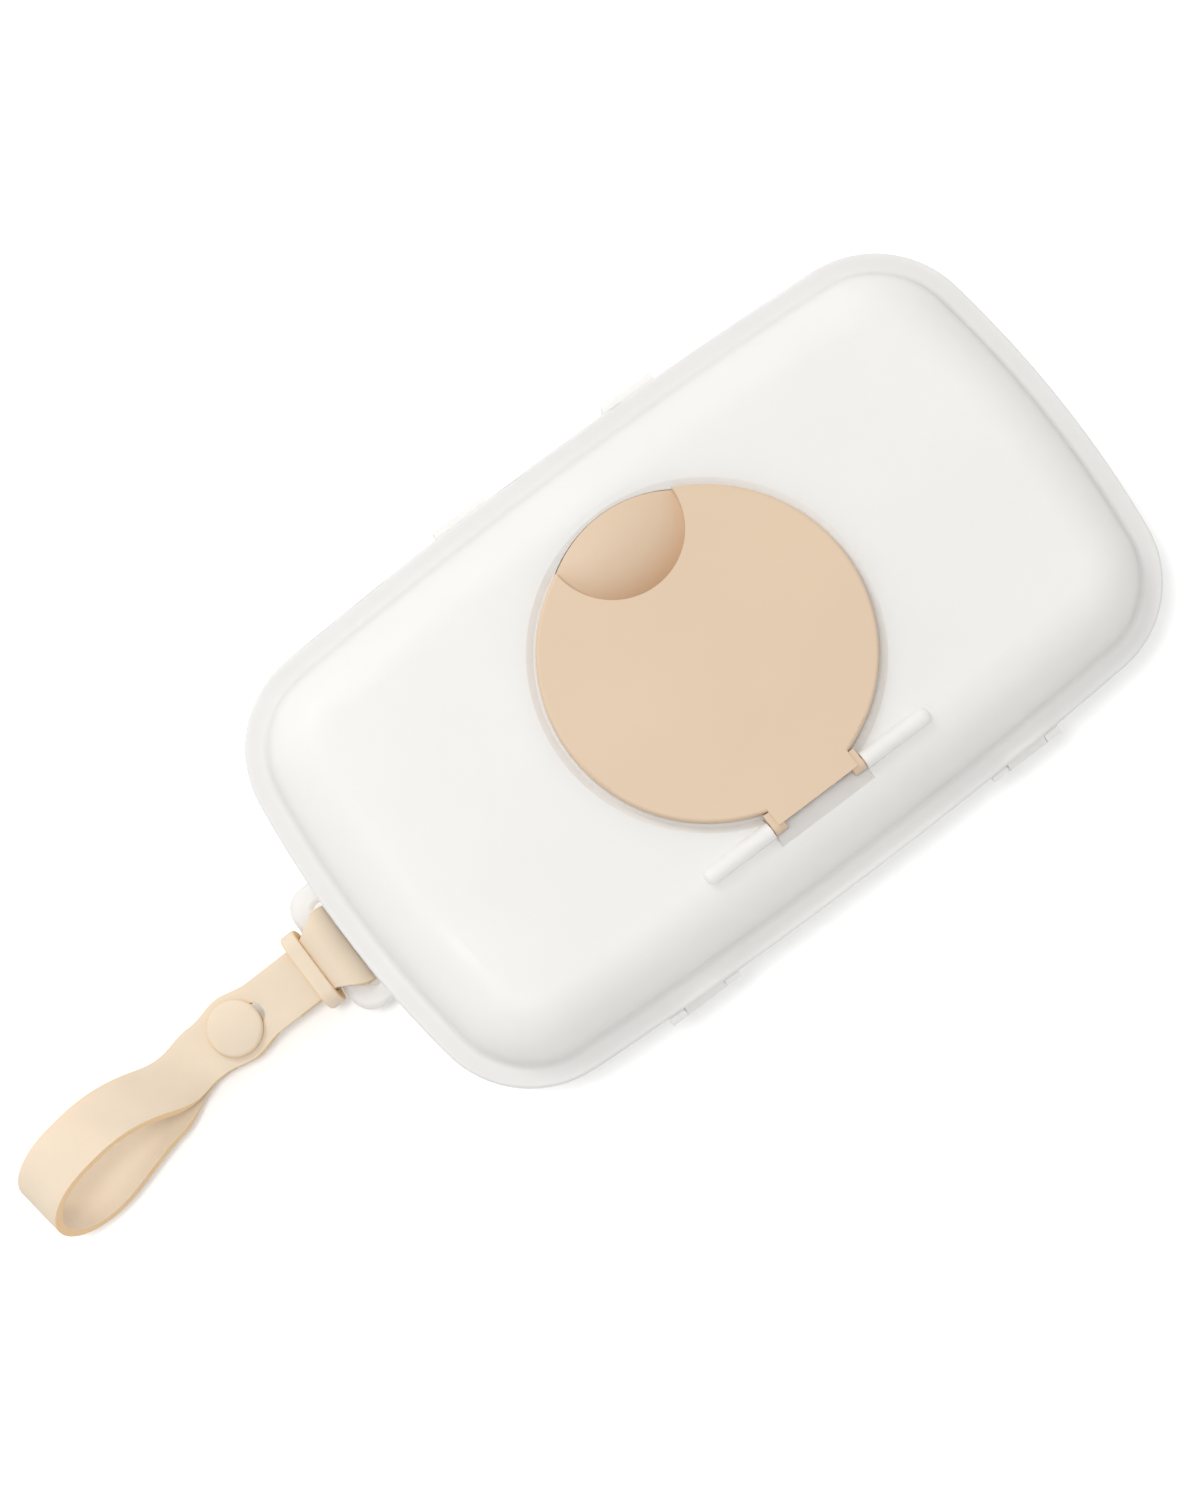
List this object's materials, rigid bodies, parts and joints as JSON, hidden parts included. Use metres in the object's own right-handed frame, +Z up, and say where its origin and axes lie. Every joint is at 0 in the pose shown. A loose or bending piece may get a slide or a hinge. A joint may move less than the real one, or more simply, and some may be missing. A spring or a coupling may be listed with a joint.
{
  "type": "wipe box",
  "caption": "Frosted travel wipe case with a hinged lid, a round flip cap over its dispensing opening, and a looped silicone wrist strap on an end bracket.",
  "frame": {"origin": "centre of the base's flat underside", "axes": "+Z up, +X along the length towards the strap end, +Y towards the lid hinge"},
  "size_m": [0.2951, 0.1223, 0.043],
  "materials": {
    "frosted_case": "frosted translucent",
    "clear_case": "translucent",
    "beige_cap": "satin",
    "beige_silicone": "matte",
    "seal_silicone": "matte",
    "hinge_steel": "drawn wire"
  },
  "bodies": {
    "base": {"base_shell": "frosted_case", "strap_bracket": "clear_case", "rim_seal": "seal_silicone", "lid_hinge_pin_left": "hinge_steel", "lid_hinge_pin_right": "hinge_steel"},
    "lid": {"lid_shell": "frosted_case"},
    "cap": {"flip_cap": "beige_cap", "cap_seal": "seal_silicone"},
    "strap": {"strap_band": "beige_silicone", "snap_button": "beige_silicone", "snap_backing": "beige_silicone"},
    "keeper": {"strap_keeper": "beige_silicone"}
  },
  "joints": [
    {"name": "lid_hinge", "type": "hinge", "parent": "base", "child": "lid", "pos_m": [0, 0.0591, 0.0239], "axis": [-1, 0, 0], "range_deg": [0, 170]},
    {"name": "cap_hinge", "type": "hinge", "parent": "lid", "child": "cap", "pos_m": [0, 0.04, 0.0406], "axis": [-1, 0, 0], "range_deg": [0, 110]},
    {"name": "strap_swing", "type": "hinge", "parent": "base", "child": "strap", "pos_m": [0.1062, 0, 0.01], "axis": [0, -1, 0], "range_deg": [-60, 90]},
    {"name": "keeper_slide", "type": "slide", "parent": "strap", "child": "keeper", "axis": [0.9899, 0, -0.1417], "range_m": [0, 0.01]}
  ]
}
